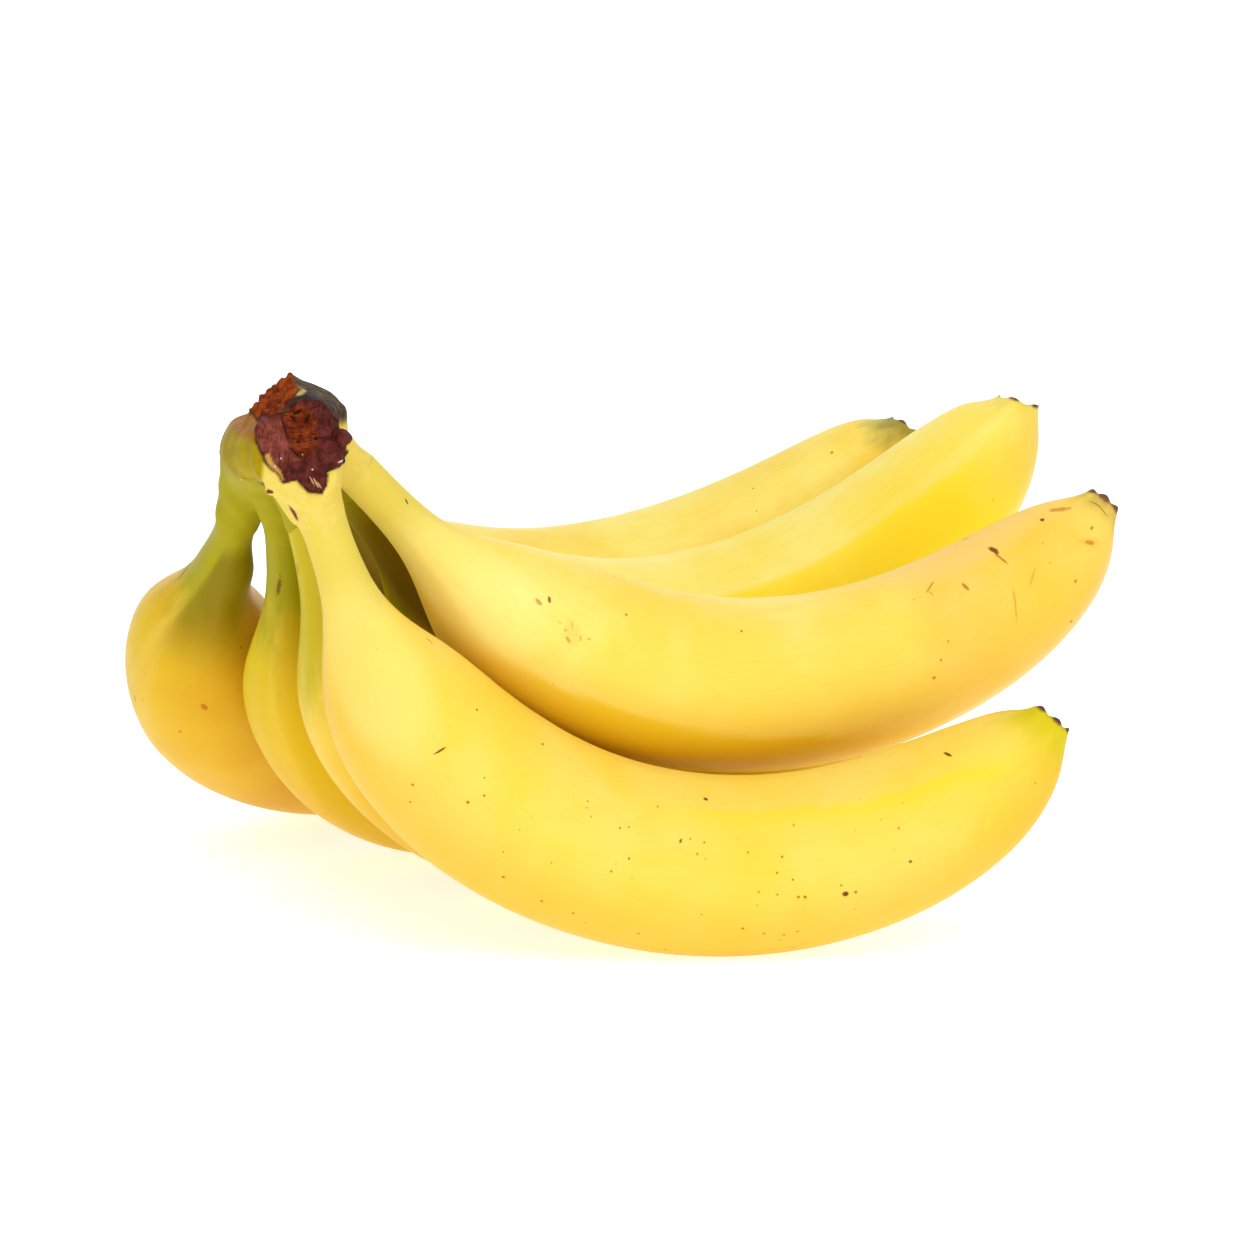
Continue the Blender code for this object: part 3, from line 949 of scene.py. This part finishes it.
# Marks, with the same sizes, a colour and its strength: bruises and scars, and some painted highlights and
# painted shade.
# Painted shade: a dark olive patch on the inner stems where they lie in the gap between the front bananas.
STEM_GAP_SHADE = (30, 74, 0, 66, 26, 0, GAP_SHADE_OLIVE, 0.8)
MARKS = {
    OUTER_1: (
        # a painted highlight: a pale patch on the lit shoulder
        (36, 84, 0, 40, 24, 0, HIGHLIGHT_LEMON, 0.25),
        (55.4, 71, 80, 3.2, 0.55, 0.4, DARK, 0.9),
        (123.5, 15, -20, 1.5, 0.9, 0.4, DARK, 0.95),
        (117.5, 47, 70, 1.2, 0.7, 0.3, DARK, 0.85),
        (154, 90, 0, 1.5, 1.3, 0.3, DARK, 0.95),
        (169, 85, 0, 0.9, 0.8, 0.3, DARK, 0.8),
        (188, 24, -55, 2.6, 0.8, 0.4, DARK, 0.95),
        (22.5, 161, 0, 3, 0.5, 1, RUST, 0.5),
        (37.7, 2, -15, 2.4, 0.5, 0.4, RUST, 0.8),
    ),
    INNER_1: (
        (44.8, 64, -20, 2.2, 1, 0.8, RUST, 0.8),
        (46.7, 58, -60, 1.8, 0.8, 0.8, DARK, 0.85),
        (54.3, 78, -30, 1.6, 0.7, 0.8, RUST, 0.6),
        (52.9, 73, 10, 0.9, 0.6, 0.5, RUST, 0.5),
        (56.7, 73, -60, 1.5, 0.5, 0.8, RUST, 0.45),
        (58.5, 71, 0, 1, 0.6, 0.6, RUST, 0.45),
        (53.8, 68, -50, 2, 0.5, 1, TAN, 0.6),
        (51, 70, 0, 1.1, 0.5, 0.6, TAN, 0.5),
        (65.6, 44, 0, 0.9, 0.7, 0.4, RUST, 0.8),
        (54.5, 73, -60, 6.5, 4, 0.4, TAN, 0.2),
        (166, 66, 0, 56, 60, 0, RIPE_ORANGE, 0.45),
        (162, 6, 0, 56, 16, 0, PALE_TAN, 0.6),
        # a painted highlight: a pale patch on the lit shoulder
        (32, 90, 0, 40, 24, 0, HIGHLIGHT_LEMON, 0.35),
        (168, 28, -75, 3.6, 1.5, 1, DARK, 0.9),
        (168, 38, -78, 4.4, 0.6, 0.8, RUST, 0.8),
        (182.5, 27, 0, 1.1, 1, 0.3, DARK, 0.9),
        (187, 25, -30, 4.2, 1.4, 1.2, RUST, 0.6),
        (188.4, 76, 0, 0.9, 0.7, 0.3, RUST, 0.8),
        (186, 84, -60, 2.6, 1, 0.8, RUST, 0.6),
        (186, 84, -60, 6, 2.4, 1, RUST, 0.15),
        (192, 66, -90, 6, 0.35, 0.5, RUST, 0.7),
        (164, 74, -120, 8, 0.5, 1.2, RUST, 0.4),
        (171, 66, -150, 5, 0.45, 1.2, RUST, 0.4),
        (149, 30, 30, 5, 0.5, 1, RUST, 0.7),
        (156.3, 43, -80, 2.4, 1, 0.8, RUST, 0.8),
        (165.5, 354, 0, 2.2, 0.8, 0.6, RUST, 0.8),
        (172.3, 124, -70, 1.4, 0.7, 0.4, RUST, 0.8),
        (148, 36, 110, 1.6, 0.5, 1, RUST, 0.5),
        (178, 96, 0, 1, 0.8, 0.4, RUST, 0.7),
        (140, 92, 0, 0.9, 0.8, 0.4, RUST, 0.7),
        (11.3, 48, -25, 1.6, 0.5, 0.3, DARK, 0.9),
    ),
    OUTER_2: (
        (13.1, 164, -5, 3.4, 0.7, 0.8, RUST, 0.7),
        (18.5, 172, -5, 2.4, 0.5, 0.8, RUST, 0.7),
    ),
    OUTER_4: (
        (24, 222, 25, 7, 0.6, 0.6, DARK, 0.85),
        (47.6, 114, 0, 2, 1.6, 1.6, RUST, 0.8),
        (57, 133, 0, 1.2, 1, 0.8, RUST, 0.6),
        (55, 172, 0, 2.2, 1, 1, RUST, 0.6),
    ),
    INNER_2: (STEM_GAP_SHADE,),
    INNER_3: (STEM_GAP_SHADE,),
    OUTER_3: ((14.8, 149, -10, 5.5, 1.2, 1.4, DARK, 0.7),),
}


SPOT_REACH_BACK = 12.0  # mm, from one end of a spot's depth to the other
FACE_BACK = -38.0  # mm, where the cut face's own spots lie
FLECK, SCRATCH = colour(210, 196, 186), colour(186, 150, 96)
HOLE, CRACK = colour(24, 8, 6), colour(58, 20, 12)
BROWN_SCAR, GOLDEN_NUB = colour(112, 48, 34), colour(190, 116, 30)
# Pale flecks, a hole, cracks and scratches on the cut face: across, up, turn, length, width, colour.
FACE_SPOTS = (
    (2.35, 4.75, 0, 0.45, 0.4, FLECK),
    (1.2, 3.15, 0, 0.5, 0.35, FLECK),
    (6.5, 5.55, 0, 0.35, 0.35, FLECK),
    (8.5, 2.55, 0, 0.4, 0.35, FLECK),
    (13.4, 3.95, 30, 0.8, 0.35, FLECK),
    (8.4, 0.4, -62, 2.2, 0.35, SCRATCH),
    (9.2, 0, -60, 2.4, 0.45, SCRATCH),
    (9.9, -0.5, -58, 1.8, 0.35, SCRATCH),
    (9.1, 8.6, 0, 0.9, 0.6, HOLE),
    (11, 8.7, 5, 3.4, 0.25, CRACK),
    (5.6, 13.9, 30, 2.2, 0.7, CRACK),
    (4.6, 12.6, -50, 1.8, 0.5, CRACK),
    (7.4, 12.6, 60, 2.4, 0.5, CRACK),
    (3, 10.6, -72, 5, 0.4, CRACK),
    (5, 5.9, -42, 3.4, 0.4, CRACK),
    (12, 12, -70, 3.4, 0.3, CRACK),
    (9, 14.6, 25, 3, 0.4, CRACK),
)
# The brown nubs and scars on the skin: across, back, up, turn, length, width, colour.
SKIN_SPOTS = (
    (4.3, -39, -6.6, -63, 4.6, 1.3, BROWN_SCAR),
    (-0.2, -36, -2.1, 20, 2.2, 1.1, BROWN_SCAR),
    (15.2, -14, 5, 35, 1.4, 0.5, BROWN_SCAR),
    (15.6, -37, 8.8, 60, 3.4, 2.6, GOLDEN_NUB),
    (14, -31, 11.6, 80, 2, 0.8, BROWN_SCAR),
)


def make_spot_group():
    """An oval spot on the crown: its place across, back and up, turn, length and width in mm."""
    sizes = sockets(FLOAT, "Across", "Back", "Up", "Turn", "Length", "Width")
    w, given, out = new_group("crown_spot", sockets(VECTOR, "Place") + sizes, sockets(FLOAT, "Mark"))
    x, y, z = w.parts(given["Place"])
    across, up = w.minus(x, given["Across"]), w.minus(z, given["Up"])
    back = w.maths("DIVIDE", w.minus(y, given["Back"]), SPOT_REACH_BACK)
    angle = w.times(w.maths("RADIANS", given["Turn"]), -1.0)
    reach = w.oval(across, up, angle, given["Length"], given["Width"], back)
    ragged = w.centred(w.noise(given["Place"], 1.6, 2.0), 0.35)
    w.put(out["Mark"], w.step(w.plus(reach, ragged), 0.55, 0.35))
    return w.tree


def add_spot(w, place, base, across, back, up, turn, length, width, tint):
    sizes = {"Across": across, "Back": back, "Up": up, "Turn": turn, "Length": length, "Width": width}
    return w.mix(w.group(spot_group, {"Place": place, **sizes}).outputs["Mark"], base, tint)


def crown_skin(w, place, big, mid):
    """Olive skin, pale on the two front stems, rusty beside the cut, with a painted shadow under its lip and
    a painted highlight along it, and its nubs and scars.
    """
    across_mm, _, height_mm = w.parts(place)
    skin = w.mix(w.step(big, 0.35, 0.65), colour(150, 130, 0), colour(170, 146, 0))
    skin = w.mix(w.step(height_mm, -1.0, -6.0), skin, colour(166, 156, 18))
    pale = w.mix(w.step(mid, 0.35, 0.65), colour(220, 198, 84), colour(228, 200, 98))
    skin = w.mix(w.share("paleness"), skin, pale)
    high = w.times(w.step(height_mm, 6.8, 9.8), w.step(mid, 0.2, 0.5))
    left = w.step(w.plus(across_mm, w.centred(big, 12.0)), 4.0, -3.0)
    skin = w.mix(w.times(high, left), skin, colour(150, 90, 0))
    # Painted shadow under the lip, then a painted highlight along its edge.
    skin = w.mix(w.times(w.share("lip_shade"), 0.85), skin, colour(96, 82, 0))
    skin = w.mix(w.times(w.share("lip_light"), 0.9), skin, colour(222, 210, 100))
    for spot in SKIN_SPOTS:
        skin = add_spot(w, place, skin, *spot)
    return skin


def front_face(w, place, hollow, big, mid):
    """The dark dried face with its smooth band and tan patch, and the fibrous flesh in its hollow."""
    upright = w.stretched_noise(place, (2.4, 1.0, 0.5), 1.1, 4.0, 0.6)
    level = w.stretched_noise(place, (0.5, 1.0, 3.0), 1.5, 4.0, 0.65)
    dry = w.mix(w.step(mid, 0.35, 0.62), colour(72, 24, 20), colour(104, 44, 36))
    band = w.mix(w.step(mid, 0.35, 0.65), colour(106, 44, 34), colour(140, 72, 58))
    dry = w.mix(w.times(w.share("band"), w.step(big, 0.2, 0.5)), dry, band)
    dry = w.mix(w.step(upright, 0.45, 0.75, 0.0, 0.8), dry, colour(46, 12, 8))
    dry = w.mix(w.share("tan_patch"), dry, colour(196, 146, 70))
    dry = w.mix(w.times(w.share("face_edge"), 0.8), dry, colour(44, 20, 18))
    flesh = w.mix(w.step(mid, 0.35, 0.62), colour(120, 42, 16), colour(162, 74, 32))
    flesh = w.mix(w.step(level, 0.48, 0.66, 0.0, 0.9), flesh, colour(40, 8, 4))
    face = w.mix(hollow, dry, flesh)
    for across, *spot in FACE_SPOTS:
        face = add_spot(w, place, face, across, FACE_BACK, *spot)
    return face


def top_face(w, place, mid):
    """The orange flesh of the top cut, streaked along its slope."""
    in_line = w.turned(place, pi / 4.0, "Y_AXIS")
    sloping = w.stretched_noise(in_line, (0.4, 1.0, 2.6), 1.4, 4.0, 0.65)
    orange = w.mix(w.step(mid, 0.35, 0.62), colour(124, 42, 10), colour(172, 76, 24))
    return w.mix(w.step(sloping, 0.48, 0.68, 0.0, 0.85), orange, colour(70, 20, 8))


def folded_skin(w, mid):
    """The brown skin folded over the cut, with a pale crease and a dark edge."""
    dark = w.mix(w.step(mid, 0.4, 0.65), colour(62, 50, 28), colour(128, 108, 52))
    dark = w.mix(w.share("pale_crease"), dark, colour(190, 160, 104))
    return w.mix(w.share("brow"), dark, colour(52, 42, 44))


def crown_material():
    material, shader, w = new_material("crown")
    place = w.place("from_middle")
    front, hollow, top, fold = map(w.share, ("front_cut", "hollow", "top_cut", "fold"))
    big, mid = w.noise(place, 0.16), w.noise(place, 0.6, 4.0)
    base = w.mix(fold, crown_skin(w, place, big, mid), folded_skin(w, mid))
    base = w.mix(top, base, top_face(w, place, mid))
    top_edge = w.times(w.times(top, w.minus(1.0, top)), 3.2)
    base = w.mix(top_edge, base, colour(84, 38, 18))
    base = w.mix(front, base, front_face(w, place, hollow, big, mid))
    w.put(shader["Base Color"], base)
    dry = w.maths("MAXIMUM", w.maths("MAXIMUM", front, top), fold)
    w.put(shader["Roughness"], w.plus(0.56, w.times(dry, 0.12)))
    fine = w.stretched_noise(place, (1.0, 1.0, 2.6), 2.2, 4.0, 0.65)
    skin_relief = w.plus(0.06, w.times(w.maths("MAXIMUM", front, fold), 0.2))
    cut_relief = w.times(w.maths("MAXIMUM", hollow, top), 0.7)
    height = w.times(w.plus(fine, mid), w.plus(skin_relief, cut_relief))
    w.put(shader["Normal"], w.bump(height, 0.7 * MM, 0.9))
    w.put(shader["Specular IOR Level"], 0.07)
    return material


# ---- Stage ----
WHITE, PAPER_WHITE = (1.0, 1.0, 1.0, 1.0), (0.88, 0.88, 0.88, 1.0)
VIEW_ELEVATION = radians(10.0)
VIEW_DISTANCE = 0.70
VIEW_TARGET = Vector((0.0043, -0.0827, 0.0720))
LENS, SENSOR = 98.9, 36.0
PAPER_GLOW, SKY_STRENGTH, KEY_POWER, KEY_SIZE = 0.62, 0.55, 12.0, 1.1
KEY_PLACE, KEY_AIM = Vector((0.15, -0.9, 1.25)), Vector((0.0, 0.0, 0.05))


def make_floor():
    """A white table and the lit white wall behind it."""
    material, shader, w = new_material("pale_paper")
    w.fill(shader, {"Base Color": PAPER_WHITE, "Roughness": 0.8})
    w.fill(shader, {"Emission Color": WHITE, "Emission Strength": PAPER_GLOW})
    sheets = (("floor", 40.0, (0.0, 0.0, 0.0), 0.0), ("wall", 6.0, (0.0, 3.0, 0.0), pi / 2.0))
    for name, size, place, turn in sheets:
        bpy.ops.mesh.primitive_plane_add(size=size, location=place, rotation=(turn, 0.0, 0.0))
        sheet = bpy.context.object
        sheet.name = name
        dress(sheet, material)


def make_lights():
    world = bpy.data.worlds.new("studio")
    bpy.context.scene.world = world
    world.use_nodes = True
    background = world.node_tree.nodes["Background"].inputs
    background["Color"].default_value = WHITE
    background["Strength"].default_value = SKY_STRENGTH
    data = bpy.data.lights.new("key", "AREA")
    data.shape, data.size, data.energy = "DISK", KEY_SIZE, KEY_POWER
    lamp = bpy.data.objects.new("key", data)
    lamp.location = KEY_PLACE
    lamp.rotation_euler = (KEY_AIM - KEY_PLACE).to_track_quat("-Z", "Y").to_euler()
    bpy.context.scene.collection.objects.link(lamp)


def make_camera():
    data = bpy.data.cameras.new("camera")
    data.lens = LENS
    data.sensor_width = SENSOR
    camera = bpy.data.objects.new("camera", data)
    back = Vector((0.0, -cos(VIEW_ELEVATION), sin(VIEW_ELEVATION)))
    camera.location = VIEW_TARGET + VIEW_DISTANCE * back
    camera.rotation_euler = (pi / 2.0 - VIEW_ELEVATION, 0.0, 0.0)
    bpy.context.scene.collection.objects.link(camera)
    bpy.context.scene.camera = camera


mark_group = make_mark_group()
peel_group = make_peel_group()
spot_group = make_spot_group()
for finger in OUTER_ROW + INNER_ROW:
    dress(make_banana(finger), peel_material(finger))
dress(make_crown(), crown_material())
make_floor()
make_lights()
make_camera()
bpy.context.scene.view_settings.view_transform = "Standard"
